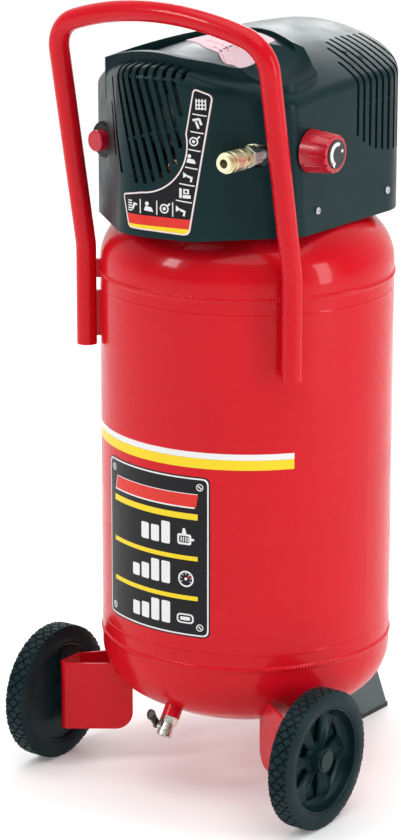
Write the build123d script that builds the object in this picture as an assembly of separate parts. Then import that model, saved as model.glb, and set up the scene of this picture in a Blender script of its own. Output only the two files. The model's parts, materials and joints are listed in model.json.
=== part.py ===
from build123d import *
import os
from math import cos, sin, radians, degrees, sqrt, atan2, tan

# Upright workshop air compressor. Millimetres, +Z up, front (controls, wheels) towards -Y.
# Every sub-part is first laid out about the tank's axis (x = y = 0) on the floor z = 0,
# and the finished model is moved along Y so that the origin is below its box's centre.

# ---- driving dimensions: tank ----
tank_r = 175.0
wall_t = 3.0
seam_low_z = 175.5
seam_high_z = 621.5
low_flange = 15.0
high_flange = 12.0
knuckle_r = 62.0
dish_r = 283.0
weld_w = 8.0
weld_h = 1.6
port_r = 7.0

# ---- wheels, brackets and rear foot ----
wheel_r = 83.5
wheel_w = 30.0
wheel_out_x = 210.0
axle_y = -131.0
axle_r = 6.0
axle_play = 0.05
rim_r = 64.0
hub_r = 16.0
spoke_count = 6
bracket_z0 = 46.0
bracket_z1 = 131.0
bracket_t = 3.0
bracket_x = 172.0
foot_rear_y = 249.5
foot_half_w = 49.0
foot_pad_t = 6.0
foot_t = 3.0
foot_top_z = 168.0

# ---- push handle ----
tube_r = 12.0
tube_t = 1.6
leg_x = 148.0
leg_y = -121.0
leg_z0 = 534.0
bend_z = 652.0
lean = 11.0
bend_r = 60.0
corner_v = 271.0
arch_sag = 29.5
corner_r = 42.0
cap_t = 3.0

# ---- plastic hood ----
hood_x = 141.5
hood_z0 = 692.0
hood_back_y = 147.0
hood_wall = 2.8
hood_peak_z = 906.0
hood_peak_y = 50.0
crown_rx = 228.0
crown_ry = 1371.0
rim_rx = 281.0
hood_edge_r = 16.0
rim_height = 1.0
rim_forward = 60.0
rim_band = 7.0
facet_lean = 4.3
slot_w = 5.0
rear_corner_r = 60.0
chamfer_y = -108.0
front_corner_x = -33.0
front_corner_y = -201.0
facet_x = 54.0
facet_y0 = -187.0
facet_y1 = -93.0
tray_depth = 2.5
bowl_r = 76.0
bowl_centre = (92.0, -77.0, 930.0)
vent_first_x = 43.0
vent_pitch = 11.4
vent_row_z = 874.0
vent_line_x = 42.5
vent_arc_x = -10.0
vent_arc_z = 803.0
vent_arc_r = 52.0
left_vent_count = 12
right_vent_count = 9
right_vent_y = 20.0
right_vent_pitch = 13.0
gland_x = -60.0
gland_z = 712.0
knob_grooves = 12
valve_y = -92.0
vent_tilt = 15.8
screw_y = (-62.0, 84.0)
screw_z = 718.0

# ---- controls ----
control_z = 790.0
coupler_x = 108.0
coupler_nose_y = -199.0
coupler_r = 12.0
outlet_r = 5.2
knob_y = -78.0
knob_x0 = 143.0
knob_x1 = 177.0
knob_r0 = 25.0
knob_r1 = 21.8
cap_r = 16.5
button_x = -102.0
button_y = -127.1
button_z = 785.0
button_turn = 10.0
bezel_r = 21.5
button_r = 12.3

# ---- drain ----
drain_y = -148.0
drain_bore_r = 3.0
stem_at = 25.0

# ---- pump and motor under the hood ----
saddle_z = 734.0
saddle_t = 3.0
motor_y = 38.0
motor_z = 808.0
motor_r = 56.0
motor_bore_r = 52.0
motor_x0 = -28.0
motor_x1 = 72.0
bell_t = 14.0
shaft_r = 6.0
pump_x = -95.0
pump_bore_r = 24.0
piston_play = 0.06
stroke = 22.0
deck_y = -44.0
case_face_y = -4.0
plate_t = 4.0
head_depth = 28.0
head_half = 36.0
open_pivot_gap = 0.8
capacitor_y = 122.0
capacitor_r = 16.0


def rod(start, end, radius):
    """Round bar from one point to another."""
    start, end = Vector(*start), Vector(*end)
    plane = Plane(origin=start, z_dir=(end - start).normalized())
    return extrude(plane * Circle(radius), amount=(end - start).length)


def pipe(start, end, outer, inner):
    """Round tube from one point to another."""
    return rod(start, end, outer) - rod(start, end, inner)


def hexagon(start, end, flats):
    """Hexagonal bar with the given size across its flats."""
    start, end = Vector(*start), Vector(*end)
    plane = Plane(origin=start, z_dir=(end - start).normalized())
    face = plane * RegularPolygon(flats / 2, 6, major_radius=False)
    return extrude(face, amount=(end - start).length)


def block(x0, x1, y0, y1, z0, z1):
    """Box between two corners."""
    size = Box(x1 - x0, y1 - y0, z1 - z0)
    return Pos((x0 + x1) / 2, (y0 + y1) / 2, (z0 + z1) / 2) * size


def mirrored(shape):
    return mirror(shape, about=Plane.YZ)


def both(shape):
    """A piece and its mirror image, kept as separate solids."""
    return group([shape, mirrored(shape)])


def group(pieces):
    """Several pieces as separate solids of one node."""
    return Compound([solid for piece in pieces for solid in piece.solids()])


# ---------------------------------------------------------------- tank

def dish_centre():
    """How far the dish's centre lies below the flange's end, for a tangent knuckle."""
    return sqrt((dish_r - knuckle_r) ** 2 - (tank_r - knuckle_r) ** 2)


def dome_face(inset, flange):
    """Half section of a head about its own flange: straight flange, knuckle and dish."""
    reach = dish_centre()
    turn = atan2(reach, tank_r - knuckle_r)
    side_r, small, large = tank_r - inset, knuckle_r - inset, dish_r - inset
    knuckle = Vector(tank_r - knuckle_r, flange)
    meet = Vector(large * cos(turn), flange - reach + large * sin(turn))
    knuckle_mid = knuckle + Vector(small * cos(turn / 2), small * sin(turn / 2))
    half = (turn + radians(90)) / 2
    dish_mid = Vector(large * cos(half), flange - reach + large * sin(half))
    tip = Vector(0, flange - reach + large)
    return make_face([
        Line((side_r, 0), (side_r, flange)),
        ThreePointArc((side_r, flange), knuckle_mid, meet),
        ThreePointArc(meet, dish_mid, tip),
        Line(tip, (0, 0)),
        Line((0, 0), (side_r, 0)),
    ])


def dome(inset, flange, seam_z, upright):
    """Solid under a head's surface, standing on its seam or hanging below it."""
    body = revolve(Plane.XZ * dome_face(inset, flange), Axis.Z)
    if not upright:
        body = mirror(body, about=Plane.XY)
    return Pos(0, 0, seam_z) * body


def head(flange, seam_z, upright):
    """Pressed tank head, a shell of constant wall."""
    return dome(0, flange, seam_z, upright) - dome(wall_t, flange, seam_z, upright)


def top_head():
    """Upper head with its two pipe ports."""
    shell = head(high_flange, seam_high_z, True)
    return shell - [rod((x, y, 660), (x, y, 740), port_r) for x, y in port_spots()]


def bottom_head():
    """Lower head with its drain port."""
    return head(low_flange, seam_low_z, False) - rod(drain_point(-30), drain_point(5), 5)


def tank_solid():
    """The tank's outer form, for trimming what is welded to it."""
    middle = rod((0, 0, seam_low_z), (0, 0, seam_high_z), tank_r)
    return dome(0, high_flange, seam_high_z, True) + middle + dome(0, low_flange, seam_low_z, False)


def dome_rise(distance):
    """Height of a head's surface above its flange, at a distance from the tank's axis."""
    reach = dish_centre()
    if distance < dish_r * cos(atan2(reach, tank_r - knuckle_r)):
        return sqrt(dish_r ** 2 - distance ** 2) - reach
    return sqrt(knuckle_r ** 2 - (distance - tank_r + knuckle_r) ** 2)


def dome_z(distance):
    """Height of the top head's outside at a distance from the axis."""
    return seam_high_z + high_flange + dome_rise(distance)


def tank_shell():
    return pipe((0, 0, seam_low_z), (0, 0, seam_high_z), tank_r, tank_r - wall_t)


def weld_bead(seam_z):
    bead = make_face([
        ThreePointArc((tank_r, -weld_w / 2), (tank_r + weld_h, 0), (tank_r, weld_w / 2)),
        Line((tank_r, weld_w / 2), (tank_r, -weld_w / 2)),
    ])
    return revolve(Plane.XZ * Pos(0, seam_z) * bead, Axis.Z)


def drain_direction():
    """Outward normal of the bottom head's knuckle at the drain."""
    out = Vector(0, drain_y + tank_r - knuckle_r, -dome_rise(-drain_y))
    return out.normalized()


def drain_point(along, side=0.0):
    """A point on the drain's axis, or beside it towards -X."""
    root = Vector(0, drain_y, seam_low_z - low_flange - dome_rise(-drain_y))
    return tuple(root + drain_direction() * along + Vector(-side, 0, 0))


def drain_boss(tank):
    boss = rod(drain_point(-8), drain_point(13), 10.8) - tank
    return boss - rod(drain_point(-9), drain_point(14), 5)


def drain_valve_body():
    """Small ball valve: hexagon, waist with the stem's boss, and a round outlet end."""
    body = hexagon(drain_point(13), drain_point(21), 19)
    body += rod(drain_point(20), drain_point(30), 8)
    body += rod(drain_point(3), drain_point(13), 4.9)
    body += rod(drain_point(29), drain_point(37), 9)
    body += rod(drain_point(stem_at), drain_point(stem_at, 11.5), 4.8)
    body -= rod(drain_point(2), drain_point(38), drain_bore_r)
    return body - rod(drain_point(stem_at, 6), drain_point(stem_at, 12), 2.5 + axle_play)


def drain_lever():
    """Flat paddle on its stem, wider at the outer end, which has cut corners."""
    lever = rod(drain_point(stem_at, 6.5), drain_point(stem_at, 17.2), 2.5)
    lever += rod(drain_point(stem_at, 12.3), drain_point(stem_at, 17.2), 5)
    outline = make_face(Polyline((-3, -4), (12, -4.2), (19, -6.2), (24, -4.6), (26, -2), (26, 2), (24, 4.6),
                                 (19, 6.2), (12, 4.2), (-3, 4), close=True))
    along = Vector(0, -0.6, 0.8)
    plane = Plane(origin=drain_point(stem_at, 16.7), x_dir=along, z_dir=(1, 0, 0))
    return lever + plane * extrude(outline, amount=3.5)


# ---------------------------------------------------------------- chassis

def wheel_bracket(tank):
    """Right bracket: a bent strip, U-shaped in plan, welded to the bottom head."""
    front_turn, rear_turn = radians(35), radians(51.5)
    strip_end = 93.0
    front = (bracket_x - strip_end * cos(front_turn), -157 + strip_end * sin(front_turn))
    rear = (bracket_x - 62 * cos(rear_turn), -113 + 62 * sin(rear_turn))
    path = FilletPolyline(front, (bracket_x, -157), (bracket_x, -113), rear, radius=7)
    strip = trace(path, bracket_t)
    plate = Pos(0, 0, bracket_z0) * extrude(strip, amount=bracket_z1 - bracket_z0)
    corner = 22.0
    cutter = block(-corner, 0, -20, 20, 0, corner) - rod((0, -21, corner), (0, 21, corner), corner)
    reach = strip_end - corner
    at = Pos(bracket_x - reach * cos(front_turn), -157 + reach * sin(front_turn), bracket_z0)
    plate -= at * Rot(0, 0, -35) * cutter
    plate -= rod((bracket_x - 5, axle_y, wheel_r), (bracket_x + 5, axle_y, wheel_r), axle_r + 0.1)
    return (plate - tank).solids().sort_by(SortBy.VOLUME)[-1]


def axle_bolt():
    """Shoulder bolt: head inside the hub's outer pocket, thread through the bracket."""
    shank = rod((154, axle_y, wheel_r), (202, axle_y, wheel_r), axle_r)
    return shank + hexagon((202, axle_y, wheel_r), (206, axle_y, wheel_r), 16)


def axle_washers():
    inner = pipe((168.5, axle_y, wheel_r), (170.5, axle_y, wheel_r), 11, axle_r + 0.1)
    outer = pipe((173.5, axle_y, wheel_r), (175.5, axle_y, wheel_r), 11, axle_r + 0.1)
    return group([inner, outer])


def axle_nut():
    nut = hexagon((160, axle_y, wheel_r), (168.5, axle_y, wheel_r), 18)
    return nut - rod((159, axle_y, wheel_r), (169, axle_y, wheel_r), axle_r)


def tyre():
    """Solid rubber tyre with rounded shoulders."""
    inner_x, shoulder = wheel_out_x - wheel_w, 6.0
    with BuildSketch(Plane.XZ) as section:
        with Locations(((inner_x + wheel_out_x) / 2, (wheel_r + rim_r) / 2)):
            Rectangle(wheel_w, wheel_r - rim_r)
        fillet(section.vertices().group_by(Axis.Y)[-1], shoulder)
    ring = revolve(section.sketch, Axis.X)
    return Pos(0, axle_y, wheel_r) * ring


def wheel_rim():
    """Moulded rim: outer band, dished web ring, flared spokes and a hub."""
    inner_x = wheel_out_x - wheel_w
    centre_x = inner_x + wheel_w / 2
    band = pipe((inner_x + 1, 0, 0), (wheel_out_x - 1, 0, 0), rim_r, rim_r - 4)
    band += pipe((centre_x - 7, 0, 0), (centre_x - 3, 0, 0), rim_r - 3, rim_r - 12)
    hub = rod((176, 0, 0), (208, 0, 0), hub_r)
    for turn in range(spoke_count):
        band += Rot(turn * 360 / spoke_count + 27, 0, 0) * spoke(centre_x)
    rim = band + hub
    rim -= rod((175, 0, 0), (210, 0, 0), axle_r + axle_play)
    rim -= rod((201.5, 0, 0), (210, 0, 0), 11.5)
    return Pos(0, axle_y, wheel_r) * rim


def spoke(centre_x):
    """One spoke, narrow at the hub and flared at the rim, with a raised middle rib."""
    plan = make_face(Polyline((6, hub_r - 3), (19, rim_r - 3), (-19, rim_r - 3), (-6, hub_r - 3), close=True))
    web = Plane(origin=(centre_x - 7, 0, 0), x_dir=(0, 1, 0), z_dir=(1, 0, 0)) * plan
    rib = block(centre_x - 6, centre_x + 3, -2, 2, hub_r - 3, rim_r - 3)
    return extrude(web, amount=4) + rib


def hub_cap():
    """Snap-on cover over the bolt head: short skirt and a domed face."""
    cap = pipe((206.5, 0, 0), (208, 0, 0), 11.4, 9.5) + rod((208, 0, 0), (210, 0, 0), 12.5)
    cap = fillet(cap.edges().filter_by(GeomType.CIRCLE).sort_by(Axis.X)[-1], 1.2)
    return Pos(0, axle_y, wheel_r) * cap


def foot_profile(rear_y, low_z):
    """Side outline of the rear foot."""
    slope = 0.46
    return Polyline(
        (rear_y - slope * low_z, low_z), (190, low_z), (120, 82), (120, foot_top_z),
        (rear_y - slope * foot_top_z, foot_top_z), close=True)


def rear_foot_bracket(tank):
    """Bent sheet channel, closed at the rear and welded to the bottom head."""
    side = make_face(foot_profile(foot_rear_y, foot_pad_t))
    solid = extrude(Plane.YZ * side, amount=foot_half_w, both=True)
    inside = make_face(foot_profile(foot_rear_y - foot_t, foot_pad_t + foot_t))
    solid -= extrude(Plane.YZ * inside, amount=foot_half_w - foot_t, both=True)
    solid -= block(-foot_half_w + foot_t, foot_half_w - foot_t, 100, 196, foot_pad_t - 1, 200)
    return (solid - tank).solids().sort_by(SortBy.VOLUME)[-1]


def rear_foot_pad():
    return block(-foot_half_w, foot_half_w, 190, foot_rear_y, 0, foot_pad_t)


# ---------------------------------------------------------------- handle

def handle_path():
    """Right half of the tube's centre line: leg, bend, leaning leg, corner and arch."""
    turn = radians(lean)
    along = Vector(0, -sin(turn), cos(turn))
    bend = Vector(leg_x, leg_y, bend_z)
    reach = bend_r * tan(turn / 2)
    arch_r = (leg_x ** 2 + arch_sag ** 2) / (2 * arch_sag)
    arch_c = corner_v + arch_sag - arch_r
    knee_x = leg_x - corner_r
    knee_v = arch_c + sqrt((arch_r - corner_r) ** 2 - knee_x ** 2)
    meet = atan2(knee_v - arch_c, knee_x)

    def lifted(x, v):
        return Vector(x, leg_y, bend_z) + along * v

    start, before = Vector(leg_x, leg_y, leg_z0), bend - Vector(0, 0, reach)
    after = lifted(leg_x, reach)
    first = Line(start, before)
    second = TangentArc(before, after, tangent=(0, 0, 1))
    third = Line(after, lifted(leg_x, knee_v))
    mid = lifted(knee_x + corner_r * cos(meet / 2), knee_v + corner_r * sin(meet / 2))
    end = lifted(arch_r * cos(meet), arch_c + arch_r * sin(meet))
    fourth = ThreePointArc(lifted(leg_x, knee_v), mid, end)
    half = (meet + radians(90)) / 2
    top_mid = lifted(arch_r * cos(half), arch_c + arch_r * sin(half))
    fifth = ThreePointArc(end, top_mid, lifted(0, arch_c + arch_r))
    return Wire([first, second, third, fourth, fifth])


def handle():
    """Bent steel tube, made as one half and its mirror image."""
    path = handle_path()
    section = Pos(leg_x, leg_y, leg_z0) * (Circle(tube_r) - Circle(tube_r - tube_t))
    half = sweep(section, path=path)
    return half + mirrored(half)


def handle_end_cap():
    cap = rod((leg_x, leg_y, leg_z0 - cap_t), (leg_x, leg_y, leg_z0), tube_r)
    plug = rod((leg_x, leg_y, leg_z0), (leg_x, leg_y, leg_z0 + 10), tube_r - tube_t)
    return cap + plug


def handle_weld_tabs(tank):
    """Two strips between the right leg and the tank wall."""
    turn = degrees(atan2(leg_y, leg_x))
    reach = sqrt(leg_x ** 2 + leg_y ** 2)
    strips = block(tank_r - 3, reach, -3, 3, 541, 596) + block(tank_r - 3, reach, -3, 3, 612, 634)
    strips = Rot(0, 0, turn) * strips
    strips = strips - rod((leg_x, leg_y, leg_z0), (leg_x, leg_y, bend_z), tube_r)
    return group([strips - tank - weld_bead(seam_high_z)])


# ---------------------------------------------------------------- hood

def hood_plan(inset):
    """Plan of the hood: flat sides and rear, a chamfer at the front left."""
    outline = make_face(Polyline(
        (hood_x, hood_back_y), (hood_x, -180), (114, -177), (front_corner_x, front_corner_y),
        (-hood_x, chamfer_y), (-hood_x, hood_back_y), close=True))
    return offset(outline, amount=-inset, kind=Kind.INTERSECTION) if inset else outline


def facet_cutter(inset):
    """Everything outside the front right facet, which leans outwards towards the top."""
    run = Vector(hood_x - facet_x, facet_y1 - facet_y0, 0).normalized()
    outward = Vector(run.Y, -run.X, -tan(radians(facet_lean))).normalized()
    plane = Plane(origin=Vector(facet_x, facet_y0, hood_z0) - outward * inset, x_dir=run, z_dir=outward)
    return plane * Pos(0, 0, 100) * Box(700, 900, 200)


def crown(inset, across=crown_rx):
    """Body under the hood's roof, curved strongly along X and slightly along Y."""
    radius, top, half = across - inset, crown_ry - inset, 185
    side_z = top - radius + sqrt(radius ** 2 - half ** 2)
    face = make_face([
        ThreePointArc((-half, side_z), (0, top), (half, side_z)),
        Polyline((half, side_z), (half, 1000), (-half, 1000), (-half, side_z)),
    ])
    body = revolve(Rot(-12, 0, 0) * Plane.XZ * face, Axis.X, 24)
    return Pos(0, hood_peak_y, hood_peak_z - crown_ry) * body


def upright_edges(body, x, y):
    """The nearly vertical edge of a body next to a plan position."""
    steep = [e for e in body.edges() if abs((e @ 1 - e @ 0).normalized().Z) > 0.9]
    return [e for e in steep if abs(e.center().X - x) < 20 and abs(e.center().Y - y) < 25]


def hood_blank(inset):
    """Solid of the hood's outline, smaller all over by the inset and open downwards."""
    body = Pos(0, 0, hood_z0 - 10) * extrude(hood_plan(inset), amount=260)
    body -= facet_cutter(inset)
    corners = (
        (hood_x, hood_back_y, rear_corner_r), (-hood_x, hood_back_y, rear_corner_r),
        (-hood_x, chamfer_y, 34), (front_corner_x, front_corner_y, 62),
        (facet_x + 8, facet_y0, 45), (hood_x, facet_y1 - 17, 22),
    )
    for x, y, radius in corners:
        body = fillet(upright_edges(body, x, y), radius - inset)
    body = body & crown(inset)
    roof = [e for e in body.edges() if e.center().Z > 820]
    roof = [e for e in roof if abs((e @ 1 - e @ 0).normalized().Z) < 0.6]
    return fillet(roof, hood_edge_r - inset)


def tray_outline(inset):
    """Shield-shaped plan of the roof tray: a point at the left and a round lobe at the right."""
    points = [(-104, -146), (30, -170), (80, -148), (131, -98), (131, -44), (96, -15), (10, 22), (-66, -24)]
    outline = make_face(Polyline(*points, close=True))
    radii = (9, 60, 40, 28, 32, 60, 60, 60)
    for (x, y), radius in zip(points, radii):
        near = outline.vertices().sort_by_distance((x, y, 0))[0]
        outline = fillet(near, radius)
    return offset(outline, amount=-inset) if inset else outline


def tray_column(inset):
    """Upright column over the tray's plan."""
    return Pos(0, 0, 835) * extrude(tray_outline(inset), amount=120)


def hood_outside():
    """Outer form with a rim that rises to the front, the sunken tray and the bowl in its right lobe."""
    rim = tray_column(0) & (Pos(0, -rim_forward, 0) * crown(-rim_height, rim_rx))
    body = hood_blank(0) + rim
    body -= tray_column(rim_band) - crown(tray_depth)
    return body - Pos(*bowl_centre) * Sphere(bowl_r)


def hood_inside():
    """Hollow under the hood: the walls' inner faces, and the tray and bowl hanging into it."""
    body = hood_blank(hood_wall) - (tray_column(0) - crown(tray_depth + hood_wall))
    return body - Pos(*bowl_centre) * Sphere(bowl_r + hood_wall)


def left_vent_low_z(x0):
    """Where a left slot ends: on a line beside the label, then on an arc above it."""
    slope = tan(radians(vent_tilt))
    on_line = vent_row_z - (vent_line_x - x0) / slope
    if on_line > vent_arc_z:
        return on_line
    low, high = vent_arc_z - vent_arc_r - 20, vent_arc_z
    for _ in range(30):
        z = (low + high) / 2
        x = x0 + (vent_row_z - z) * slope
        inside = (x - vent_arc_x) ** 2 + (z - vent_arc_z) ** 2 < vent_arc_r ** 2
        low, high = (low, z) if inside else (z, high)
    return low


def chamfer_wall_y(x):
    """Plan position of the front left wall at a given x."""
    share = (x + hood_x) / (front_corner_x + hood_x)
    return chamfer_y + min(share, 1) * (front_corner_y - chamfer_y)


def left_vents():
    """Slots over the front left edge, all in parallel planes tilted about Y."""
    slots = []
    for i in range(left_vent_count):
        x0 = vent_first_x - i * vent_pitch
        low = left_vent_low_z(x0)
        top = 960 if i < left_vent_count - 2 else 866 - 30 * (i - left_vent_count + 2)
        inner_y = chamfer_wall_y(x0) + 33
        slot = block(-slot_w / 2, slot_w / 2, -260, inner_y, low - vent_row_z, top - vent_row_z)
        slot += rod((0, -260, low - vent_row_z), (0, inner_y, low - vent_row_z), slot_w / 2)
        slots.append(Pos(x0, 0, vent_row_z) * Rot(0, -vent_tilt, 0) * slot)
    return group(slots)


def right_vents():
    """Slots over the right-hand rear edge, in upright planes."""
    slots = []
    for i in range(right_vent_count):
        y = right_vent_y + i * right_vent_pitch
        share = i / (right_vent_count - 1)
        low = 767 + 27 * (1 - share) ** 3
        inner_x = 75 + 40 * (1 - share) ** 7
        slot = block(inner_x, 170, y - slot_w / 2, y + slot_w / 2, low, 960)
        slot += rod((inner_x, y, low), (170, y, low), slot_w / 2)
        slot += rod((inner_x, y, 830), (inner_x, y, 960), slot_w / 2)
        slots.append(slot)
    return group(slots)


def vent_ribs():
    """Bars that cross the slots on the inside of the hood's wall."""
    band = 3.0
    left = block(-150, 60, -260, 0, vent_row_z - 1, vent_row_z - 1 + band)
    slant = Pos(35, 0, 820) * Rot(0, -vent_tilt, 0) * block(-130, 30, -260, -100, -1.5, 1.5)
    right = block(110, 160, 20, 150, 826, 826 + band)
    right_top = block(119, 119 + band, 20, 150, 840, 900)
    return group([left, slant, right, right_top])


def hood():
    """Moulded cover: thin shell with a roof tray, vent slots and openings for the controls."""
    inner = hood_inside()
    slots = group([*left_vents().solids(), *right_vents().solids()])
    shell = hood_outside() - inner - slots
    shell += (hood_blank(hood_wall / 2) - inner) & vent_ribs() & slots
    shell -= block(-200, 200, -300, 300, hood_z0 - 60, hood_z0)
    for y in screw_y:
        shell -= rod((-150, y, screw_z), (150, y, screw_z), 2.3)
    shell -= rod((coupler_x, -165, control_z), (coupler_x, -110, control_z), 14)
    shell -= rod((130, knob_y, control_z), (150, knob_y, control_z), 15.5)
    shell -= rod(button_point(-25), button_point(40), bezel_r + 0.2)
    shell -= rod((gland_x, 130, gland_z), (gland_x, 150, gland_z), 8.2)
    return shell.solids().sort_by(SortBy.VOLUME)[-1]


def hood_screw(y):
    """Pan-head screw through the hood's right wall into the saddle's flange."""
    screw = rod((130, y, screw_z), (hood_x, y, screw_z), 2.0)
    top = rod((hood_x, y, screw_z), (hood_x + 2.2, y, screw_z), 4.5)
    top = fillet(top.edges().sort_by(Axis.X)[-1], 1.2)
    slot = block(hood_x + 1.2, hood_x + 3, y - 3, y + 3, screw_z - 0.5, screw_z + 0.5)
    return screw + top - slot


# ---------------------------------------------------------------- controls

def button_point(along):
    """A point on the power button's axis, measured outwards from the wall."""
    turn = radians(button_turn)
    return (button_x - along * sin(turn), button_y - along * cos(turn), button_z)


def button_bezel():
    """Black stepped collar in the hood's wall."""
    bezel = rod(button_point(-12), button_point(13), bezel_r) + rod(button_point(13), button_point(17), 18)
    bezel -= rod(button_point(-4), button_point(20), button_r + 0.3)
    return bezel - rod(button_point(-13), button_point(-3), 4.3)


def power_button():
    """Push button: round head on a thinner plunger."""
    top = rod(button_point(4), button_point(29), button_r)
    top = fillet(top.edges().filter_by(GeomType.CIRCLE).sort_by(Axis.Y)[0], 2)
    return top + rod(button_point(-24), button_point(4), 4)


def pressure_switch():
    """Switch box behind the button, with a well for the plunger and a pipe socket below."""
    box = block(-126, -80, -106, -80, 766, 814)
    box = fillet(box.edges().filter_by(Axis.Z), 3)
    box += rod((-100, -94, 752), (-100, -94, 767), 7)
    return box - rod(button_point(-34), button_point(-8), 4.6)


def cable_gland():
    """Cord inlet in the rear wall."""
    inner_y = hood_back_y - hood_wall
    gland = hexagon((gland_x, inner_y - 6, gland_z), (gland_x, inner_y, gland_z), 20)
    gland += rod((gland_x, inner_y, gland_z), (gland_x, hood_back_y, gland_z), 8)
    gland += rod((gland_x, hood_back_y, gland_z), (gland_x, hood_back_y + 12, gland_z), 10)
    return gland - rod((gland_x, inner_y - 8, gland_z), (gland_x, hood_back_y + 14, gland_z), 4)


def regulator_body():
    """Pressure regulator and outlet manifold in one casting."""
    body = block(90, 126, -104, -66, 772, 808)
    body = fillet(body.edges().filter_by(Axis.Z), 4)
    body += rod((120, knob_y, control_z), (150, knob_y, control_z), 14)
    body += rod((150, knob_y, control_z), (160, knob_y, control_z), 5)
    body += rod((coupler_x, -140, control_z), (coupler_x, -100, control_z), 8)
    body += rod((100, -80, 760), (100, -80, 775), 8)
    body -= rod((coupler_x, -141, control_z), (coupler_x, -96, control_z), 4)
    return body - rod((89, valve_y, control_z), (98, valve_y, control_z), 4)


def regulator_knob():
    """Ribbed knob, slightly tapered, turning on the regulator's spindle."""
    length = knob_x1 - knob_x0
    plane = Plane(origin=(knob_x0, knob_y, control_z), z_dir=(1, 0, 0))
    knob = plane * Pos(0, 0, length / 2) * Cone(knob_r0, knob_r1, length)
    knob = fillet(knob.edges().filter_by(GeomType.CIRCLE).sort_by(Axis.X)[-1], 2)
    grooves = []
    for i in range(knob_grooves):
        turn = radians(360 * i / knob_grooves)
        low = (knob_x0 + 4, knob_y + (knob_r0 + 0.4) * cos(turn), control_z + (knob_r0 + 0.4) * sin(turn))
        high = (knob_x1 + 1, knob_y + knob_r1 * cos(turn), control_z + knob_r1 * sin(turn))
        grooves.append(rod(low, high, 1.8))
    knob -= grooves
    knob -= rod((knob_x0 - 1, knob_y, control_z), (151, knob_y, control_z), 14.5)
    return knob - rod((150, knob_y, control_z), (161, knob_y, control_z), 5 + axle_play)


def knob_cap():
    return rod((knob_x1, knob_y, control_z), (knob_x1 + 1.2, knob_y, control_z), cap_r)


def coupler_nut():
    nut = hexagon((coupler_x, -140, control_z), (coupler_x, -152, control_z), 22)
    return nut - rod((coupler_x, -139, control_z), (coupler_x, -153, control_z), 6)


def coupler_ball_spots():
    return [(coupler_x + 6.8 * cos(radians(60 * i)), -188, control_z + 6.8 * sin(radians(60 * i)))
            for i in range(6)]


def coupler_balls():
    return group([Pos(*spot) * Sphere(1.5) for spot in coupler_ball_spots()])


def coupler_body():
    """Quick coupler's brass body: hexagon, barrel, ball pockets and nose collar."""
    body = rod((coupler_x, -142, control_z), (coupler_x, -152, control_z), 5.95)
    body += hexagon((coupler_x, -152, control_z), (coupler_x, -158, control_z), 20)
    body += rod((coupler_x, -158, control_z), (coupler_x, -195, control_z), 8.5)
    body += rod((coupler_x, -195, control_z), (coupler_x, coupler_nose_y, control_z), 10)
    body -= rod((coupler_x, -141, control_z), (coupler_x, -200, control_z), 3.5)
    body -= rod((coupler_x, -172, control_z), (coupler_x, -200, control_z), outlet_r)
    return body - [Pos(*spot) * Sphere(1.52) for spot in coupler_ball_spots()]


def coupler_sleeve():
    """Sliding release sleeve with two grip grooves."""
    sleeve = pipe((coupler_x, -163.5, control_z), (coupler_x, -194.5, control_z), coupler_r, 8.5 + axle_play)
    for y in (-170, -186):
        sleeve -= pipe((coupler_x, y, control_z), (coupler_x, y - 3, control_z), coupler_r + 1, coupler_r - 1)
    return sleeve


# ---------------------------------------------------------------- under the hood

def port_spots():
    """Plan positions of the two pipe ports on the top head."""
    return ((-40, -102), (100, -80))


def port_bosses(tank):
    bosses = []
    for x, y in port_spots():
        distance = sqrt(x * x + y * y)
        low, high = dome_z(distance) - 16, dome_z(distance) + 9
        boss = rod((x, y, low), (x, y, high), 12) - tank
        bosses.append(boss - rod((x, y, low - 1), (x, y, high + 1), port_r))
    return group(bosses)


def port_top(spot):
    return dome_z(sqrt(spot[0] ** 2 + spot[1] ** 2)) + 9


def saddle_ring(tank):
    return pipe((0, 0, 700), (0, 0, saddle_z), 62, 58) - tank


def saddle_plate():
    """Pressed plate that carries the pump set, with flanges down to the hood screws."""
    half = hood_x - hood_wall - 0.2
    plate = block(-half, half, -60, 90, saddle_z - 30, saddle_z + saddle_t)
    plate -= block(-half + saddle_t, half - saddle_t, -61, 91, saddle_z - 31, saddle_z)
    plate += block(-90, 90, 90, capacitor_y + 10, saddle_z, saddle_z + saddle_t)
    plate += both_blocks(half - saddle_t, half, -76, -60, saddle_z - 30, saddle_z + saddle_t)
    plate -= block(-40, 40, 10, 50, saddle_z - 1, saddle_z + saddle_t + 1)
    for y in screw_y:
        plate -= rod((-150, y, screw_z), (150, y, screw_z), 2.05)
    return plate


def both_blocks(x0, x1, y0, y1, z0, z1):
    piece = block(x0, x1, y0, y1, z0, z1)
    return piece + mirrored(piece)


def mount_spots():
    return [(x, motor_y + side * 40) for x in (motor_x0 + 12, motor_x1 - 12) for side in (-1, 1)]


def rubber_mounts():
    """Four vibration mounts between the motor's foot and the saddle plate."""
    low = saddle_z + saddle_t
    return group([rod((x, y, low), (x, y, low + 12), 9) for x, y in mount_spots()])


def motor_housing():
    """Finned motor tube with a foot plate."""
    tube = rod((motor_x0, motor_y, motor_z), (motor_x1, motor_y, motor_z), motor_r)
    foot_z = saddle_z + saddle_t + 12
    tube += block(motor_x0, motor_x1, motor_y - 50, motor_y + 50, foot_z, foot_z + 5)
    tube += block(motor_x0, motor_x1, motor_y - 40, motor_y - 32, foot_z, motor_z - 20)
    tube += block(motor_x0, motor_x1, motor_y + 32, motor_y + 40, foot_z, motor_z - 20)
    for i in range(9):
        fin = block(motor_x0 + 6, motor_x1 - 6, -1.2, 1.2, motor_r - 1, motor_r + 5)
        tube += Pos(0, motor_y, motor_z) * Rot(20 * i - 80, 0, 0) * fin
    return tube - rod((motor_x0 - 1, motor_y, motor_z), (motor_x1 + 1, motor_y, motor_z), motor_bore_r)


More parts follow.
